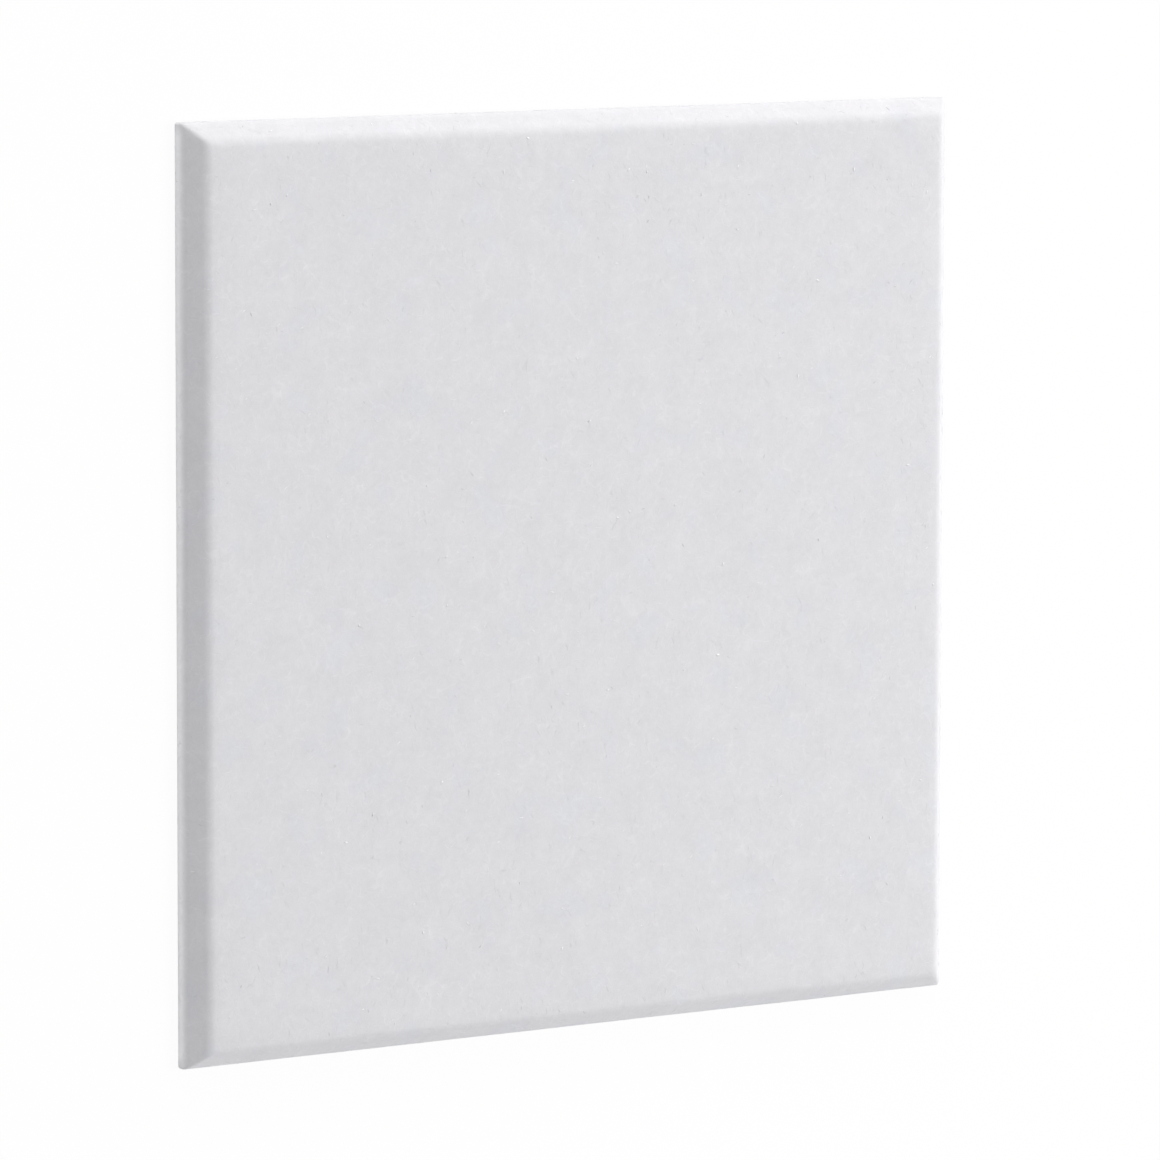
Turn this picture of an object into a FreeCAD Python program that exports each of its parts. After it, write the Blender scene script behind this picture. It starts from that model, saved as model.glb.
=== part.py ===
"""Bevelled acoustic wall tile, pressed from polyester felt in one piece.

Units are millimetres. The tile lies on its back: +Z is the way its face looks,
+X and +Y run along its sides, and the origin is the middle of its back face.
"""
import FreeCAD
import Part
import math
import os

# Outer size of the tile
side_length = 300.0
thickness = 10.0

# Edge section, from the back face up to the front face
land_height = 4.0
bevel_angle = 45.0

# Soft arrises that the hot press and the cutter leave on felt
back_arris_radius = 1.0
land_arris_radius = 5.0
front_arris_radius = 5.0
corner_radius = 1.0

# The section runs this far past the sides before the other section trims it
trim_overrun = 10.0

half_side = side_length / 2
bevel_run = (thickness - land_height) / math.tan(math.radians(bevel_angle))
half_face = half_side - bevel_run


def corner_arc(before, corner, after, radius):
    """The arc of this radius that is tangent to both straight lines at a corner."""
    to_before = (before - corner).normalize()
    to_after = (after - corner).normalize()
    half_angle = to_before.getAngle(to_after) / 2
    tangent_length = radius / math.tan(half_angle)
    centre_distance = radius / math.sin(half_angle)
    bisector = (to_before + to_after).normalize()
    start = corner + to_before * tangent_length
    middle = corner + bisector * (centre_distance - radius)
    end = corner + to_after * tangent_length
    return Part.Arc(start, middle, end)


def rounded_outline(corners, radii):
    """A closed wire of straight lines, with a tangent arc at each corner."""
    count = len(corners)
    arcs = []
    for index in range(count):
        before = corners[index - 1]
        after = corners[(index + 1) % count]
        arcs.append(corner_arc(before, corners[index], after, radii[index]))
    edges = []
    for index in range(count):
        arc = arcs[index]
        next_arc = arcs[(index + 1) % count]
        edges.append(arc.toShape())
        edges.append(Part.LineSegment(arc.EndPoint, next_arc.StartPoint).toShape())
    return Part.Wire(edges)


def edge_to_edge_section():
    """The tile's section across its width: back, lands, bevels and front face."""
    corners = [
        FreeCAD.Vector(-half_side, 0, 0),
        FreeCAD.Vector(half_side, 0, 0),
        FreeCAD.Vector(half_side, 0, land_height),
        FreeCAD.Vector(half_face, 0, thickness),
        FreeCAD.Vector(-half_face, 0, thickness),
        FreeCAD.Vector(-half_side, 0, land_height),
    ]
    radii = [
        back_arris_radius,
        back_arris_radius,
        land_arris_radius,
        front_arris_radius,
        front_arris_radius,
        land_arris_radius,
    ]
    return Part.Face(rounded_outline(corners, radii))


def section_bar():
    """The section run out along Y, past both sides of the tile."""
    bar_length = side_length + 2 * trim_overrun
    bar = edge_to_edge_section().extrude(FreeCAD.Vector(0, bar_length, 0))
    bar.translate(FreeCAD.Vector(0, -bar_length / 2, 0))
    return bar


def plan_prism():
    """The tile's square plan with its small corner radii, taller than the tile."""
    corners = [
        FreeCAD.Vector(-half_side, -half_side, -trim_overrun),
        FreeCAD.Vector(half_side, -half_side, -trim_overrun),
        FreeCAD.Vector(half_side, half_side, -trim_overrun),
        FreeCAD.Vector(-half_side, half_side, -trim_overrun),
    ]
    plan = Part.Face(rounded_outline(corners, [corner_radius] * len(corners)))
    return plan.extrude(FreeCAD.Vector(0, 0, thickness + 2 * trim_overrun))


def felt_panel():
    """Two like bars trim each other, which mitres the bevels at the corners."""
    bar_along_y = section_bar()
    bar_along_x = section_bar()
    bar_along_x.rotate(FreeCAD.Vector(0, 0, 0), FreeCAD.Vector(0, 0, 1), 90)
    mitred = bar_along_y.common(bar_along_x)
    return mitred.common(plan_prism()).removeSplitter()


def write_part(name, shape):
    """One closed solid to one STEP file, with its size printed."""
    solid = shape.Solids[0]
    box = solid.BoundBox
    solid.exportStep("parts/" + name + ".step")
    print(name, "solids", len(shape.Solids), "valid", solid.isValid(), "faces", len(solid.Faces))
    print("size mm", round(box.XLength, 3), round(box.YLength, 3), round(box.ZLength, 3))
    print("volume mm3", round(solid.Volume, 1))


os.makedirs("parts", exist_ok=True)
write_part("felt_panel", felt_panel())
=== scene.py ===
import bisect
import itertools
import math
import random

import bmesh
import bpy
from mathutils import Matrix, Vector, noise


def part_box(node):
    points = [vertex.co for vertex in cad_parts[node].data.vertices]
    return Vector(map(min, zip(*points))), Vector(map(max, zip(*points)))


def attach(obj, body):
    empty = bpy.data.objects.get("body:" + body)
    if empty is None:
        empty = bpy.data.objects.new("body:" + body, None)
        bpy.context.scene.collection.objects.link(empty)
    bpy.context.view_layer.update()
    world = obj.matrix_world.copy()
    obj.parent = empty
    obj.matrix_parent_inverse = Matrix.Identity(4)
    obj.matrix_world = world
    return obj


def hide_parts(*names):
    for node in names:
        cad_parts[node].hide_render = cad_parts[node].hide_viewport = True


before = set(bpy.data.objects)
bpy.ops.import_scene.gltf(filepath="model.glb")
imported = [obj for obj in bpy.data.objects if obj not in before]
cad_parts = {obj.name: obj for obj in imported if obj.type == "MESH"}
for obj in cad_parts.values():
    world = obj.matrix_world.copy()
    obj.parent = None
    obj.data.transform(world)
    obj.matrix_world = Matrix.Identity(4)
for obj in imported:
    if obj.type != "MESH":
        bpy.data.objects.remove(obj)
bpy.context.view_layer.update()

# Sizes in metres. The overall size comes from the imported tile, which lies on its back with its face up
MILLIMETRE = 0.001
tile_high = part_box("felt_panel")[1]
HALF_SIDE = tile_high[0]
THICKNESS = tile_high[2]

# Edge section, from the back up to the face
BACK_ARRIS_RADIUS = 1.0 * MILLIMETRE
LAND_HEIGHT = 4.0 * MILLIMETRE
LAND_ARRIS_RADIUS = 5.0 * MILLIMETRE
BEVEL_ANGLE = math.radians(45.0)
FRONT_ARRIS_RADIUS = 4.8 * MILLIMETRE
CORNER_RADIUS = 1.0 * MILLIMETRE
MITRE_RADIUS = 1.4 * MILLIMETRE

# The pressed face rolls off gently before the front arris begins; stations are shares of this length
ROLL_OFF_SLOPE = math.radians(4.4)
ROLL_OFF_LENGTH = 2.35 * MILLIMETRE
ROLL_OFF_STATIONS = (0.25, 0.5, 0.8, 1.2, 1.7, 2.3, 3.1)

# The pressed face lies a little off the middle, is narrower and taller than a square, and widens to +X
FACE_SHIFT = (0.49 * MILLIMETRE, -0.49 * MILLIMETRE)
FACE_NARROWING = (0.54 * MILLIMETRE, -0.53 * MILLIMETRE)
FACE_TAPER = 0.0024

# Unevenness of the pressed felt, as (wavelength, height) pairs; it fades out towards the level back
WAVES = ((38.0 * MILLIMETRE, 0.10 * MILLIMETRE), (7.0 * MILLIMETRE, 0.030 * MILLIMETRE))
LEVEL_BACK_HEIGHT = 1.0 * MILLIMETRE

# Painted light on the cut edge that looks to -X: palest up to half this height, and it fades out at the
# side's two ends
PAINTED_EDGE_LIGHT_TOP = 5.0 * MILLIMETRE
PAINTED_EDGE_LIGHT_FADE = 4.0 * MILLIMETRE

# Mesh density
CELLS_PER_SIDE = 180
ARC_STEPS = 8
BACK_ARC_STEPS = 6
LAND_STEPS = 2
BEVEL_STEPS = 4
CORNER_STEPS = 4
WELD_DISTANCE = 0.005 * MILLIMETRE
SHORTEST_EDGE = 0.001 * MILLIMETRE

# Loose fibres of the felt's surface. Each kind: share of all, lengths, thickness and range of tones.
# In turn: fine grey fibres, pale ones, thick bright ones painted white as glints, which are painted
# highlights, and short dark ticks
FIBRES_PER_SQUARE_METRE = 78000
FIBRE_KINDS = (
    (0.930, (1.2 * MILLIMETRE, 4.2 * MILLIMETRE), 0.064 * MILLIMETRE, (0.25, 0.73)),
    (0.020, (0.7 * MILLIMETRE, 1.9 * MILLIMETRE), 0.24 * MILLIMETRE, (0.80, 1.00)),
    # Painted highlights: thick fibres painted white to stand for glints
    (0.005, (0.7 * MILLIMETRE, 1.5 * MILLIMETRE), 0.50 * MILLIMETRE, (1.00, 1.10)),
    (0.045, (0.5 * MILLIMETRE, 1.8 * MILLIMETRE), 0.18 * MILLIMETRE, (0.05, 0.25)),
)
FIBRE_THICKNESS_SPREAD = (0.7, 1.25)
FIBRE_END_THICKNESS = 0.5
FIBRE_LIFTS = (0.005 * MILLIMETRE, 0.05 * MILLIMETRE)
FIBRE_BURIED_DEPTH = 0.04 * MILLIMETRE
FIBRE_CURL = 1.1
FIBRE_POINTS = 5
FIBRE_SIDES = 3
FIBRE_SEED = 11

# A surface that looks up or down by more than this belongs to the face or the back, not to the edges
LEVEL_NORMAL = 0.97

# Colours as linear red, green and blue
# Painted light: the pale grey painted low on the side that looks to -X
PAINTED_EDGE_LIGHT_GREY = (0.97, 0.97, 0.98, 1.0)
VIOLET_GREY = (0.7212, 0.7125, 0.7385, 1.0)
PLAIN_GREY = (0.7165, 0.7155, 0.7335, 1.0)
BLUE_GREY = (0.7070, 0.7145, 0.7490, 1.0)
DARK_FIBRE_GREY = (0.56, 0.55, 0.59, 1.0)
# The white of the pale fibres, and of the painted glints
PALE_FIBRE_AND_GLINT_GREY = (0.95, 0.95, 0.96, 1.0)
WHITE = (1.0, 1.0, 1.0, 1.0)

# Patterns of the felt's material, with sizes in millimetres. A contrast is how far the pattern moves the
# felt's brightness, and a shift takes a pattern away from the others that use the same noise
WANDER_WAVES_PER_MM = 0.35
WANDER_DISTANCE = 2.4
HUE_SIZE = 5.0
HUE_RANGE = (0.3, 0.7)
HUE_SHIFT = (200.0, 40.0, 9.0)
BLUE_SIZE = 15.0
BLUE_RANGE = (0.47, 0.77)
BLUE_SHIFT = (90.0, 310.0, 4.0)
CLOUD_SIZE = 11.0
CLOUD_CONTRAST = 0.080
PATCH_SIZE = 2.6
PATCH_CONTRAST = 0.060
GRAIN_SIZE = 0.5
GRAIN_CONTRAST = 0.03

# Streaks of fibres, as turns about the upright and as scales for each millimetre
STREAK_ANGLES = (0.3, 1.35, 2.4)
STREAK_SHIFT = 37.0
STREAK_SCALE = (0.28, 2.4, 0.9)
STREAK_CONTRAST = 0.05

# Wisps: half their width in the noise's own measure, and the range in which pieces of them show
WISP_SIZE = 6.0
WISP_HALF_WIDTH = (0.010, 0.045)
WISP_PIECE_SIZE = 7.0
WISP_PIECE_RANGE = (0.5, 0.62)
WISP_PIECE_SHIFT = (50.0, 70.0, 90.0)
WISP_CONTRAST = 0.030

# Flecks: size of the cells that hold one each, their length and width, and the share of cells with one
PALE_FLECKS = {"cell": 4.4, "length": 3.0, "width": 0.36, "share": 0.6, "shift": 31.0}
PALE_FLECK_CONTRAST = 0.035
# Dark flecks: painted shade of the gaps between fibres
PAINTED_GAP_SHADE_FLECKS = {"cell": 5.2, "length": 2.2, "width": 0.34, "share": 0.4, "shift": 109.0}
PAINTED_GAP_SHADE_CONTRAST = -0.025
FLECK_SHIFT_WAY = (1.0, 0.7, 0.3)
FLECK_SCATTER = 0.9
FLECK_BEND = 0.8
FLECK_SIDE_FADE = (0.6, 1.4)
FLECK_END_FADE = (0.6, 1.0)

# Nap of the felt, as bump
GRAIN_RELIEF = 0.4
STREAK_RELIEF = 0.5
NAP_STRENGTH = 0.3
NAP_HEIGHT = 0.1 * MILLIMETRE

# How the felt and its fibres take light
FELT_ROUGHNESS = 0.95
FELT_SPECULAR = 0.2
FELT_SHEEN = 0.15
FELT_SHEEN_ROUGHNESS = 0.5

# Tones of the loose fibres, from dark through the felt's grey to pale, and how uneven each fibre is
DARK_TONES = (0.0, 0.4)
PALE_TONES = (0.3, 1.0)
FIBRE_PATCH_SIZE = 0.8
FIBRE_PATCH_CONTRAST = 0.3

# Sockets of Blender's mix node that carry colours
MIX_FIRST_COLOUR = 6
MIX_SECOND_COLOUR = 7
MIX_RESULT_COLOUR = 2

# Camera, as the photograph's lines give it: turned about the tile's own sides, far away, with a long lens
CAMERA_TILT = math.radians(6.309)
CAMERA_TURN = math.radians(34.612)
CAMERA_ROLL = math.radians(-0.098)
CAMERA_OFFSET = Vector((-3.965, 3.282, -2585.064)) * MILLIMETRE
FOCAL_LENGTH_PIXELS = 7942.268
PHOTO_WIDTH_PIXELS = 1160
SENSOR_WIDTH_MM = 36.0

# Light: a surround that is brighter towards +X, +Y and the horizon, and two large soft lamps.
# Each lamp: place, size of its square and brightness, where 1 is that of a white wall in plain light
SURROUND_MEAN = 1.170
SURROUND_SLOPE = (0.251, 0.066)
SURROUND_DIMMING = 0.985
SURROUND_COLOUR = (1.0, 0.997, 1.012, 1.0)
LAMP_COLOUR = (1.0, 1.0, 0.98)
BACK_LAMP = ((0.0, 3.0, 1.0), 2.0, 2.974)
SIDE_LAMP = ((1.8, 0.0, 2.16), 1.26, 8.35)

# Floor: just over the level of the tile's back, so that the two don't fight where the tile lies on it
FLOOR_HALF_SIZE = 6.0
FLOOR_HEIGHT = 0.05 * MILLIMETRE
FLOOR_GREY = (0.92, 0.92, 0.92, 1.0)
FLOOR_SHADOW_SHARE = 0.06


def limited(value):
    """The value, held between 0 and 1."""
    return min(max(value, 0.0), 1.0)


def new_object(name, data):
    """A new object in the scene."""
    made = bpy.data.objects.new(name, data)
    bpy.context.scene.collection.objects.link(made)
    return made


def photo_camera():
    """The camera at the photograph's angle, looking down on the lying tile."""
    data = bpy.data.cameras.new("camera")
    data.sensor_width = SENSOR_WIDTH_MM
    data.lens = FOCAL_LENGTH_PIXELS * SENSOR_WIDTH_MM / PHOTO_WIDTH_PIXELS
    camera = new_object("camera", data)
    tile_to_camera = (
        Matrix.Rotation(CAMERA_ROLL, 4, "Z")
        @ Matrix.Rotation(CAMERA_TILT, 4, "X")
        @ Matrix.Rotation(CAMERA_TURN, 4, "Y")
    )
    camera.matrix_world = (Matrix.Translation(CAMERA_OFFSET) @ tile_to_camera).inverted()
    bpy.context.scene.camera = camera


def arc_points(centre, radius, first_angle, last_angle, steps):
    """(inset, height) points of an arc; its angle is 0 straight down and 90 degrees straight out."""
    points = []
    for step in range(steps + 1):
        angle = first_angle + (last_angle - first_angle) * step / steps
        inset = centre[0] - radius * math.sin(angle)
        height = centre[1] - radius * math.cos(angle)
        points.append((inset, height))
    return points


def straight_points(start, end, steps):
    """Points inside a straight stretch, without its two ends."""
    points = []
    for step in range(1, steps):
        share = step / steps
        points.append((start[0] + (end[0] - start[0]) * share, start[1] + (end[1] - start[1]) * share))
    return points


def edge_section():
    """(inset, height) points of the edge, from the flat back round to the flat face."""
    back_centre = (BACK_ARRIS_RADIUS, BACK_ARRIS_RADIUS)
    back_arc = arc_points(back_centre, BACK_ARRIS_RADIUS, 0.0, math.pi / 2, BACK_ARC_STEPS)
    half_turn = (math.pi / 2 - BEVEL_ANGLE) / 2
    land_centre = (LAND_ARRIS_RADIUS, LAND_HEIGHT - LAND_ARRIS_RADIUS * math.tan(half_turn))
    land_arc = arc_points(land_centre, LAND_ARRIS_RADIUS, math.pi / 2, math.pi - BEVEL_ANGLE, ARC_STEPS)
    roll_drop = math.tan(ROLL_OFF_SLOPE) * ROLL_OFF_LENGTH
    front_centre_height = THICKNESS - roll_drop - FRONT_ARRIS_RADIUS * math.cos(ROLL_OFF_SLOPE)
    bevel_top_height = front_centre_height + FRONT_ARRIS_RADIUS * math.cos(BEVEL_ANGLE)
    bevel_top_inset = (bevel_top_height - LAND_HEIGHT) / math.tan(BEVEL_ANGLE)
    front_centre = (bevel_top_inset + FRONT_ARRIS_RADIUS * math.sin(BEVEL_ANGLE), front_centre_height)
    face_angle = math.pi - ROLL_OFF_SLOPE
    front_arc = arc_points(front_centre, FRONT_ARRIS_RADIUS, math.pi - BEVEL_ANGLE, face_angle, ARC_STEPS)
    section = back_arc
    section += straight_points(back_arc[-1], land_arc[0], LAND_STEPS)
    section += land_arc
    section += straight_points(land_arc[-1], front_arc[0], BEVEL_STEPS)
    section += front_arc
    roll_start = front_arc[-1][0]
    for station in ROLL_OFF_STATIONS:
        inset = roll_start + station * ROLL_OFF_LENGTH
        section.append((inset, THICKNESS - roll_drop * math.exp(-station)))
    return section


def bevel_share(height):
    """How far up the bevel a height lies, from 0 at the land to 1 at the face."""
    return limited((height - LAND_HEIGHT) / (THICKNESS - LAND_HEIGHT))


def ring_radius(section, index):
    """Plan radius of a ring's corners: the mitres are soft, and the two closing rings are square."""
    if index in (0, len(section) - 1):
        return 0.0
    inset, height = section[index]
    if height < LAND_HEIGHT:
        return CORNER_RADIUS - inset
    return CORNER_RADIUS + (MITRE_RADIUS - CORNER_RADIUS) * bevel_share(height)


def ring_plan(inset, radius):
    """Plan points of a square ring at this inset, anticlockwise, with its corner arcs."""
    half = HALF_SIDE - inset
    arc_centre = Vector((half - radius, half - radius))
    plan = []
    for quarter in range(4):
        turn = Matrix.Rotation(quarter * math.pi / 2, 2)
        for cell in range(CELLS_PER_SIDE + 1):
            along = (half - radius) * (2 * cell / CELLS_PER_SIDE - 1)
            plan.append(turn @ Vector((half, along)))
        for step in range(1, CORNER_STEPS):
            angle = step / CORNER_STEPS * math.pi / 2
            plan.append(turn @ (arc_centre + radius * Vector((math.cos(angle), math.sin(angle)))))
    return plan


def add_sheet(mesh, inset, height, faces_up):
    """A square sheet of cells that closes the tile inside its innermost ring."""
    half = HALF_SIDE - inset
    stations = [half * (2 * cell / CELLS_PER_SIDE - 1) for cell in range(CELLS_PER_SIDE + 1)]
    rows = [[mesh.verts.new((x, y, height)) for x in stations] for y in stations]
    for row in range(CELLS_PER_SIDE):
        for cell in range(CELLS_PER_SIDE):
            corners = [rows[row][cell], rows[row][cell + 1], rows[row + 1][cell + 1], rows[row + 1][cell]]
            if not faces_up:
                corners.reverse()
            mesh.faces.new(corners)


def painted_edge_light_share(place):
    """How much painted light shows on the cut edge at a place: only on the side that looks to -X, and low
    down.
    """
    if -place.x < abs(place.y):
        return 0.0
    if place.z < BACK_ARRIS_RADIUS:
        inset = HALF_SIDE + place.x
        share = max(1.0 - inset / BACK_ARRIS_RADIUS, 0.0)
    else:
        share = limited((PAINTED_EDGE_LIGHT_TOP - place.z) / (PAINTED_EDGE_LIGHT_TOP / 2))
    return share * min((HALF_SIDE - abs(place.y)) / PAINTED_EDGE_LIGHT_FADE, 1.0)


def waviness(place):
    """How far the felt's surface stands out at a place: mostly below zero, to stay in the tile's box."""
    rise = 0.0
    for wavelength, height in WAVES:
        rise += height * noise.noise(place / wavelength)
    return (rise - sum(height for _, height in WAVES) / 2) * limited(place.z / LEVEL_BACK_HEIGHT)


def press_off_centre(place):
    """Move a place of the bevels and the face to where the press left it."""
    share = bevel_share(place.z)
    place.y *= 1.0 + FACE_TAPER * place.x / HALF_SIDE * share
    for axis in (0, 1):
        place[axis] *= 1.0 - FACE_NARROWING[axis] / HALF_SIDE * share
        place[axis] += FACE_SHIFT[axis] * share


def tile_mesh():
    """The tile's closed mesh: rings round its edge and a sheet on each face, a little uneven."""
    mesh = bmesh.new()
    painted_light_layer = mesh.verts.layers.float.new("painted_edge_light")
    section = edge_section()
    rings = []
    for index, (inset, height) in enumerate(section):
        ring = []
        for point in ring_plan(inset, ring_radius(section, index)):
            vertex = mesh.verts.new((point.x, point.y, height))
            # How much painted light each point of the edge takes
            vertex[painted_light_layer] = painted_edge_light_share(vertex.co)
            ring.append(vertex)
        rings.append(ring)
    for lower, upper in zip(rings, rings[1:]):
        count = len(lower)
        for index in range(count):
            following = (index + 1) % count
            mesh.faces.new((lower[index], lower[following], upper[following], upper[index]))
    add_sheet(mesh, *section[0], faces_up=False)
    add_sheet(mesh, *section[-1], faces_up=True)
    bmesh.ops.remove_doubles(mesh, verts=mesh.verts, dist=WELD_DISTANCE)
    bmesh.ops.dissolve_degenerate(mesh, edges=mesh.edges, dist=SHORTEST_EDGE)
    for vertex in mesh.verts:
        press_off_centre(vertex.co)
    mesh.normal_update()
    moves = [(vertex, vertex.normal * waviness(vertex.co)) for vertex in mesh.verts]
    for vertex, move in moves:
        vertex.co += move
    data = bpy.data.meshes.new("felt_tile")
    mesh.to_mesh(data)
    mesh.free()
    data.shade_smooth()
    return data


def felt_tile():
    """The tile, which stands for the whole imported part."""
    tile = new_object("felt_tile", tile_mesh())
    bpy.context.view_layer.update()
    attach(tile, "root")
    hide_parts("felt_panel")
    return tile


def surface_places(tile, draw):
    """Random places all over the tile's surface, evenly by area."""
    polygons = tile.data.polygons
    vertices = tile.data.vertices
    sums = list(itertools.accumulate(polygon.area for polygon in polygons))
    for _ in range(round(sums[-1] * FIBRES_PER_SQUARE_METRE)):
        polygon = polygons[bisect.bisect(sums, draw.uniform(0.0, sums[-1]))]
        shares = [draw.random() for _ in polygon.vertices]
        place = Vector()
        for share, index in zip(shares, polygon.vertices):
            place += vertices[index].co * (share / sum(shares))
        yield place


def fibre_path(tile, place, length, draw):
    """Centre points of one curved fibre that lies on the tile, its two ends dipping in, with normals."""
    lift = draw.uniform(*FIBRE_LIFTS)
    heading = draw.uniform(0.0, 2.0 * math.pi)
    curl = draw.uniform(-FIBRE_CURL, FIBRE_CURL)
    path = []
    for index in range(FIBRE_POINTS):
        _, place, normal, _ = tile.closest_point_on_mesh(place)
        share = index / (FIBRE_POINTS - 1)
        height = lift * math.sin(math.pi * share) - FIBRE_BURIED_DEPTH * abs(2 * share - 1)
        path.append((place + normal * height, normal))
        first_way = normal.orthogonal().normalized()
        second_way = normal.cross(first_way)
        direction = heading + curl * share
        step = math.cos(direction) * first_way + math.sin(direction) * second_way
        place = place + step * (length / (FIBRE_POINTS - 1))
    return path


def add_fibre(vertices, faces, path, thickness):
    """A closed tube along a fibre's path, thinner at its ends."""
    first = len(vertices)
    last_index = len(path) - 1
    for index, (centre, normal) in enumerate(path):
        tangent = (path[min(index + 1, last_index)][0] - path[max(index - 1, 0)][0]).normalized()
        side = tangent.cross(normal).normalized()
        up = side.cross(tangent)
        radius = thickness / 2
        if index in (0, last_index):
            radius *= FIBRE_END_THICKNESS
        for corner in range(FIBRE_SIDES):
            angle = 2.0 * math.pi * corner / FIBRE_SIDES
            vertices.append(centre + radius * (math.cos(angle) * side + math.sin(angle) * up))
    for index in range(last_index):
        for corner in range(FIBRE_SIDES):
            near = first + index * FIBRE_SIDES + corner
            beside = first + index * FIBRE_SIDES + (corner + 1) % FIBRE_SIDES
            faces.append((near, near + FIBRE_SIDES, beside + FIBRE_SIDES, beside))
    faces.append(tuple(first + corner for corner in range(FIBRE_SIDES)))
    faces.append(tuple(first + last_index * FIBRE_SIDES + corner for corner in reversed(range(FIBRE_SIDES))))


def fibre_piece_name(upward):
    """The piece that a fibre belongs to, from how far the surface under it looks up."""
    if upward > LEVEL_NORMAL:
        return "face_fibres"
    if upward < -LEVEL_NORMAL:
        return "back_fibres"
    return "edge_fibres"


def fibre_piece(name, vertices, faces, tones):
    """One piece of many fibres, with each fibre's tone kept for its material."""
    data = bpy.data.meshes.new(name)
    data.from_pydata(vertices, [], faces)
    data.attributes.new("tone", "FLOAT", "POINT").data.foreach_set("value", tones)
    data.shade_smooth()
    piece = new_object(name, data)
    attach(piece, "root")
    return piece


def loose_fibres(tile):
    """Fibres scattered all over the tile, joined into one piece each for face, edges and back."""
    draw = random.Random(FIBRE_SEED)
    parts = {"face_fibres": ([], [], []), "edge_fibres": ([], [], []), "back_fibres": ([], [], [])}
    kind_shares = [kind[0] for kind in FIBRE_KINDS]
    for place in surface_places(tile, draw):
        _, lengths, thickness, tones = draw.choices(FIBRE_KINDS, kind_shares)[0]
        path = fibre_path(tile, place, draw.uniform(*lengths), draw)
        vertices, faces, tone_values = parts[fibre_piece_name(path[0][1].z)]
        add_fibre(vertices, faces, path, thickness * draw.uniform(*FIBRE_THICKNESS_SPREAD))
        tone_values += [draw.uniform(*tones)] * (FIBRE_POINTS * FIBRE_SIDES)
    return [fibre_piece(name, *lists) for name, lists in parts.items()]


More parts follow.
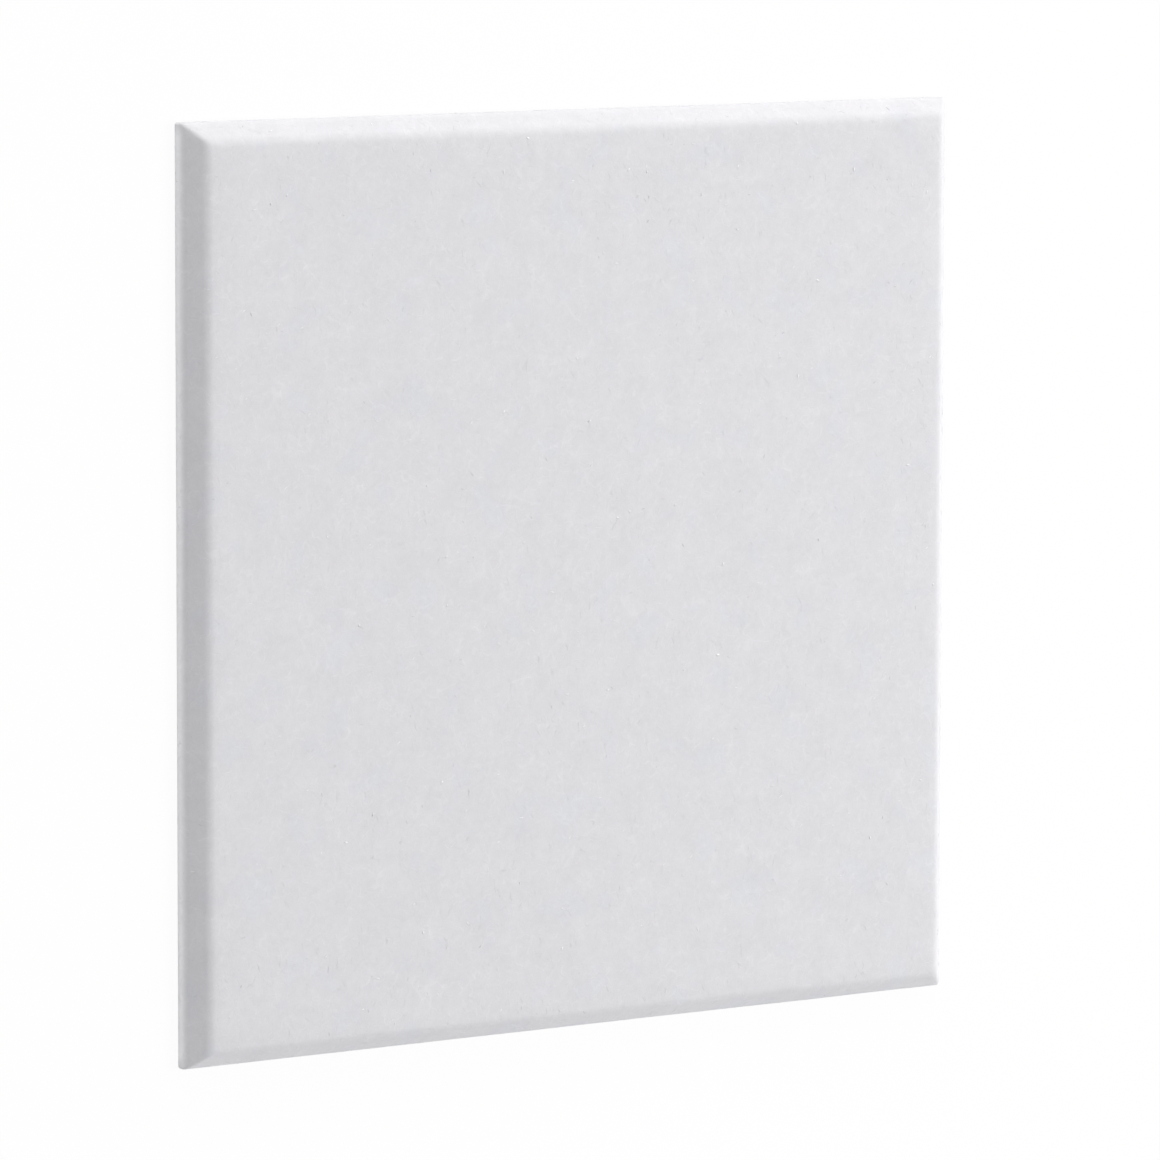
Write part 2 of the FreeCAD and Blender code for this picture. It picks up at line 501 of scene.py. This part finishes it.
class Tree:
    """A node tree with short calls for the few nodes that the felt, the floor and the light need."""

    def __init__(self, owner):
        owner.use_nodes = True
        self.nodes = owner.node_tree.nodes
        self.links = owner.node_tree.links

    def place(self, socket, value):
        """Give an input a fixed value or a link."""
        if isinstance(value, bpy.types.NodeSocket):
            self.links.new(value, socket)
        else:
            socket.default_value = value

    def millimetres(self):
        """Object coordinates in millimetres."""
        coordinates = self.nodes.new("ShaderNodeTexCoord")
        return self.scaled(coordinates.outputs["Object"], 1.0 / MILLIMETRE)

    def vector(self, operation, first, second):
        """One step of reckoning with two vectors."""
        node = self.nodes.new("ShaderNodeVectorMath")
        node.operation = operation
        self.place(node.inputs[0], first)
        self.place(node.inputs[1], second)
        return node.outputs["Vector"]

    def scaled(self, vector, scale):
        """A vector or colour times a number."""
        node = self.nodes.new("ShaderNodeVectorMath")
        node.operation = "SCALE"
        self.place(node.inputs[0], vector)
        self.place(node.inputs["Scale"], scale)
        return node.outputs["Vector"]

    def turned(self, vector, angle):
        """A vector turned about the upright."""
        node = self.nodes.new("ShaderNodeVectorRotate")
        node.rotation_type = "Z_AXIS"
        self.place(node.inputs["Vector"], vector)
        self.place(node.inputs["Angle"], angle)
        return node.outputs["Vector"]

    def split(self, vector):
        """The outputs X, Y and Z of a vector."""
        node = self.nodes.new("ShaderNodeSeparateXYZ")
        self.place(node.inputs["Vector"], vector)
        return node.outputs

    def math(self, operation, *values):
        """One step of reckoning with numbers."""
        node = self.nodes.new("ShaderNodeMath")
        node.operation = operation
        for socket, value in zip(node.inputs, values):
            self.place(socket, value)
        return node.outputs[0]

    def centred(self, pattern, contrast, level):
        """A level moved by a pattern that varies about 0.5."""
        return self.math("MULTIPLY_ADD", self.math("SUBTRACT", pattern, 0.5), contrast, level)

    def ramp(self, value, low, high, out_low=0.0, out_high=1.0):
        """A smooth step of a value from one range to another, held at its ends."""
        node = self.nodes.new("ShaderNodeMapRange")
        node.interpolation_type = "SMOOTHSTEP"
        self.place(node.inputs["Value"], value)
        self.place(node.inputs["From Min"], low)
        self.place(node.inputs["From Max"], high)
        self.place(node.inputs["To Min"], out_low)
        self.place(node.inputs["To Max"], out_high)
        return node.outputs["Result"]

    def noise(self, place, size, detail=2.0):
        """Noise of about this feature size in millimetres, around 0.5."""
        node = self.nodes.new("ShaderNodeTexNoise")
        self.place(node.inputs["Vector"], place)
        self.place(node.inputs["Scale"], 1.0 / size)
        self.place(node.inputs["Detail"], detail)
        return node.outputs["Fac"]

    def mix(self, share, first, second):
        """A mix of two colours."""
        node = self.nodes.new("ShaderNodeMix")
        node.data_type = "RGBA"
        self.place(node.inputs["Factor"], share)
        self.place(node.inputs[MIX_FIRST_COLOUR], first)
        self.place(node.inputs[MIX_SECOND_COLOUR], second)
        return node.outputs[MIX_RESULT_COLOUR]

    def mix_shaders(self, share, first, second):
        """A mix of two shaders."""
        node = self.nodes.new("ShaderNodeMixShader")
        self.place(node.inputs[0], share)
        self.place(node.inputs[1], first)
        self.place(node.inputs[2], second)
        return node.outputs[0]

    def light(self, kind, colour, strength=1.0):
        """A shader node that gives light, of the world's or a surface's kind."""
        node = self.nodes.new(kind)
        self.place(node.inputs["Color"], colour)
        self.place(node.inputs["Strength"], strength)
        return node.outputs[0]

    def attribute(self, name):
        """A value that the mesh keeps for each of its points."""
        node = self.nodes.new("ShaderNodeAttribute")
        node.attribute_name = name
        return node.outputs["Fac"]

    def bump(self, height, strength, distance):
        """The surface's normal, tilted by a pattern of heights."""
        node = self.nodes.new("ShaderNodeBump")
        self.place(node.inputs["Height"], height)
        self.place(node.inputs["Strength"], strength)
        self.place(node.inputs["Distance"], distance)
        return node.outputs["Normal"]

    def background_rays(self):
        """1 for the rays that see the white background: from the camera, mirrored or let through."""
        path = self.nodes.new("ShaderNodeLightPath")
        seen = self.math("MAXIMUM", path.outputs["Is Camera Ray"], path.outputs["Is Glossy Ray"])
        return self.math("MAXIMUM", seen, path.outputs["Is Transmission Ray"])


def wandering(tree, place):
    """Places that drift gently to and fro, so that nothing in the felt runs quite straight."""
    wander = tree.nodes.new("ShaderNodeTexNoise")
    wander.inputs["Scale"].default_value = WANDER_WAVES_PER_MM
    wander.inputs["Detail"].default_value = 0.0
    tree.place(wander.inputs["Vector"], place)
    return tree.vector("ADD", place, tree.scaled(wander.outputs["Color"], WANDER_DISTANCE))


def fibre_flecks(tree, place, cell, length, width, share, shift):
    """A mask of short flecks, one in this share of the cells, each at its own angle and a little bent."""
    shift_vector = [shift * way for way in FLECK_SHIFT_WAY]
    scaled = tree.scaled(tree.vector("ADD", place, shift_vector), 1.0 / cell)
    cells = tree.nodes.new("ShaderNodeTexVoronoi")
    cells.inputs["Scale"].default_value = 1.0
    cells.inputs["Randomness"].default_value = FLECK_SCATTER
    tree.place(cells.inputs["Vector"], scaled)
    chance = tree.nodes.new("ShaderNodeSeparateColor")
    tree.place(chance.inputs["Color"], cells.outputs["Color"])
    angle = tree.math("MULTIPLY", chance.outputs["Red"], 2.0 * math.pi)
    from_middle = tree.vector("SUBTRACT", scaled, cells.outputs["Position"])
    local = tree.split(tree.turned(from_middle, angle))
    bend = tree.math("MULTIPLY_ADD", chance.outputs["Green"], 2.0 * FLECK_BEND, -FLECK_BEND)
    squared = tree.math("MULTIPLY", local["X"], local["X"])
    across = tree.math("ABSOLUTE", tree.math("MULTIPLY_ADD", squared, bend, local["Y"]))
    along = tree.math("ABSOLUTE", local["X"])
    half_width = width / cell / 2
    half_length = length / cell / 2
    thin = tree.ramp(across, FLECK_SIDE_FADE[0] * half_width, FLECK_SIDE_FADE[1] * half_width, 1.0, 0.0)
    short = tree.ramp(along, FLECK_END_FADE[0] * half_length, FLECK_END_FADE[1] * half_length, 1.0, 0.0)
    chosen = tree.math("LESS_THAN", chance.outputs["Blue"], share)
    return tree.math("MULTIPLY", tree.math("MULTIPLY", thin, short), chosen)


def fibre_streaks(tree, place, angle):
    """Streaks of fibres that lie one way, from noise drawn out along them, around 0.5."""
    shift = STREAK_SHIFT * angle
    turned = tree.turned(tree.vector("ADD", place, (shift, shift, shift)), angle)
    return tree.noise(tree.vector("MULTIPLY", turned, STREAK_SCALE), 1.0, detail=1.0)


def pale_wisps(tree, place):
    """Worm-like wisps: the middle lines of a noise, broken into pieces by another noise."""
    middle = tree.math("ABSOLUTE", tree.math("SUBTRACT", tree.noise(place, WISP_SIZE, detail=1.0), 0.5))
    line = tree.ramp(middle, *WISP_HALF_WIDTH, 1.0, 0.0)
    breaks = tree.noise(tree.vector("ADD", place, WISP_PIECE_SHIFT), WISP_PIECE_SIZE, detail=1.0)
    return tree.math("MULTIPLY", line, tree.ramp(breaks, *WISP_PIECE_RANGE))


def felt_ground(tree, place):
    """The felt's colour: weak patches of violet, plain and bluer grey, and painted light low on the side
    that looks to -X.
    """
    hue = tree.noise(tree.vector("ADD", place, HUE_SHIFT), HUE_SIZE)
    ground = tree.mix(tree.ramp(hue, *HUE_RANGE), VIOLET_GREY, PLAIN_GREY)
    blue = tree.noise(tree.vector("ADD", place, BLUE_SHIFT), BLUE_SIZE)
    ground = tree.mix(tree.ramp(blue, *BLUE_RANGE), ground, BLUE_GREY)
    # Painted light: paler low on the side that looks to -X
    return tree.mix(tree.attribute("painted_edge_light"), ground, PAINTED_EDGE_LIGHT_GREY)


def felt_material():
    """Melange felt: a cloudy pale grey ground, streaks and pale flecks of fibres every way, dark flecks of
    painted shade in the gaps, and a soft nap.
    """
    material = bpy.data.materials.new("pressed_felt")
    tree = Tree(material)
    place = tree.millimetres()
    drifted = wandering(tree, place)
    streaks = [fibre_streaks(tree, drifted, angle) for angle in STREAK_ANGLES]
    grain = tree.noise(place, GRAIN_SIZE, detail=1.0)

    level = tree.centred(tree.noise(place, CLOUD_SIZE), CLOUD_CONTRAST, 1.0)
    level = tree.centred(tree.noise(place, PATCH_SIZE, detail=1.0), PATCH_CONTRAST, level)
    level = tree.centred(grain, GRAIN_CONTRAST, level)
    for streak in streaks:
        level = tree.centred(streak, STREAK_CONTRAST, level)
    masks = (
        (pale_wisps(tree, drifted), WISP_CONTRAST),
        (fibre_flecks(tree, drifted, **PALE_FLECKS), PALE_FLECK_CONTRAST),
        # Painted shade of the gaps between fibres, as dark flecks
        (fibre_flecks(tree, drifted, **PAINTED_GAP_SHADE_FLECKS), PAINTED_GAP_SHADE_CONTRAST),
    )
    for mask, contrast in masks:
        level = tree.math("MULTIPLY_ADD", mask, contrast, level)

    nap = tree.math("MULTIPLY", grain, GRAIN_RELIEF)
    for streak in streaks:
        nap = tree.math("MULTIPLY_ADD", streak, STREAK_RELIEF, nap)
    shader = felt_shader(tree, tree.scaled(felt_ground(tree, place), level))
    tree.place(shader.inputs["Normal"], tree.bump(nap, NAP_STRENGTH, NAP_HEIGHT))
    return material


def felt_shader(tree, colour):
    """The matt, slightly fuzzy surface of the felt and its fibres, in this colour."""
    shader = tree.nodes["Principled BSDF"]
    tree.place(shader.inputs["Base Color"], colour)
    shader.inputs["Roughness"].default_value = FELT_ROUGHNESS
    shader.inputs["Specular IOR Level"].default_value = FELT_SPECULAR
    shader.inputs["Sheen Weight"].default_value = FELT_SHEEN
    shader.inputs["Sheen Roughness"].default_value = FELT_SHEEN_ROUGHNESS
    return shader


def fibre_material():
    """Loose fibres, from the felt's own grey to nearly white, the thick whitest ones painted glints, each a
    little uneven along its length.
    """
    material = bpy.data.materials.new("loose_fibre")
    tree = Tree(material)
    patches = tree.noise(tree.millimetres(), FIBRE_PATCH_SIZE)
    share = tree.centred(patches, FIBRE_PATCH_CONTRAST, tree.attribute("tone"))
    colour = tree.mix(tree.ramp(share, *DARK_TONES), DARK_FIBRE_GREY, VIOLET_GREY)
    colour = tree.mix(tree.ramp(share, *PALE_TONES), colour, PALE_FIBRE_AND_GLINT_GREY)
    felt_shader(tree, colour)
    return material


def softbox(name, place, size, brightness):
    """A soft square lamp that faces the tile."""
    data = bpy.data.lights.new(name, "AREA")
    data.size = size
    data.energy = brightness * math.pi * size ** 2
    data.color = LAMP_COLOUR
    lamp = new_object(name, data)
    lamp.location = place
    lamp.rotation_euler = Vector(place).to_track_quat("Z", "Y").to_euler()


def floor_material():
    """Pale, and shown nearly white to the rays that see the background, with part of the shadow kept."""
    material = bpy.data.materials.new("floor")
    tree = Tree(material)
    tree.nodes.clear()
    lit = tree.nodes.new("ShaderNodeBsdfDiffuse")
    lit.inputs["Color"].default_value = FLOOR_GREY
    white = tree.light("ShaderNodeEmission", WHITE)
    shown = tree.mix_shaders(FLOOR_SHADOW_SHARE, white, lit.outputs[0])
    seen = tree.mix_shaders(tree.background_rays(), lit.outputs[0], shown)
    output = tree.nodes.new("ShaderNodeOutputMaterial")
    tree.place(output.inputs["Surface"], seen)
    return material


def pale_floor():
    """The floor that the tile lies on."""
    half = FLOOR_HALF_SIZE
    corners = [(x, y, FLOOR_HEIGHT) for x, y in ((-half, -half), (half, -half), (half, half), (-half, half))]
    data = bpy.data.meshes.new("floor")
    data.from_pydata(corners, [], [(0, 1, 2, 3)])
    data.materials.append(floor_material())
    floor = new_object("floor", data)


def soft_surround():
    """Light from all round, by direction; the camera sees plain white."""
    world = bpy.data.worlds.new("surround")
    bpy.context.scene.world = world
    tree = Tree(world)
    tree.nodes.clear()
    coordinates = tree.nodes.new("ShaderNodeTexCoord")
    direction = tree.split(coordinates.outputs["Generated"])
    steepness = tree.math("ABSOLUTE", direction["Z"])
    level = tree.math("MULTIPLY_ADD", direction["X"], SURROUND_SLOPE[0], SURROUND_MEAN)
    level = tree.math("MULTIPLY_ADD", direction["Y"], SURROUND_SLOPE[1], level)
    level = tree.math("MULTIPLY_ADD", steepness, -SURROUND_DIMMING, level)
    light = tree.light("ShaderNodeBackground", SURROUND_COLOUR, level)
    white = tree.light("ShaderNodeBackground", WHITE)
    output = tree.nodes.new("ShaderNodeOutputWorld")
    tree.place(output.inputs["Surface"], tree.mix_shaders(tree.background_rays(), light, white))


bpy.context.scene.view_settings.view_transform = "Standard"
photo_camera()
tile = felt_tile()
tile.data.materials.append(felt_material())
fibre_finish = fibre_material()
for piece in loose_fibres(tile):
    piece.data.materials.append(fibre_finish)
pale_floor()
soft_surround()
softbox("back_lamp", *BACK_LAMP)
softbox("side_lamp", *SIDE_LAMP)
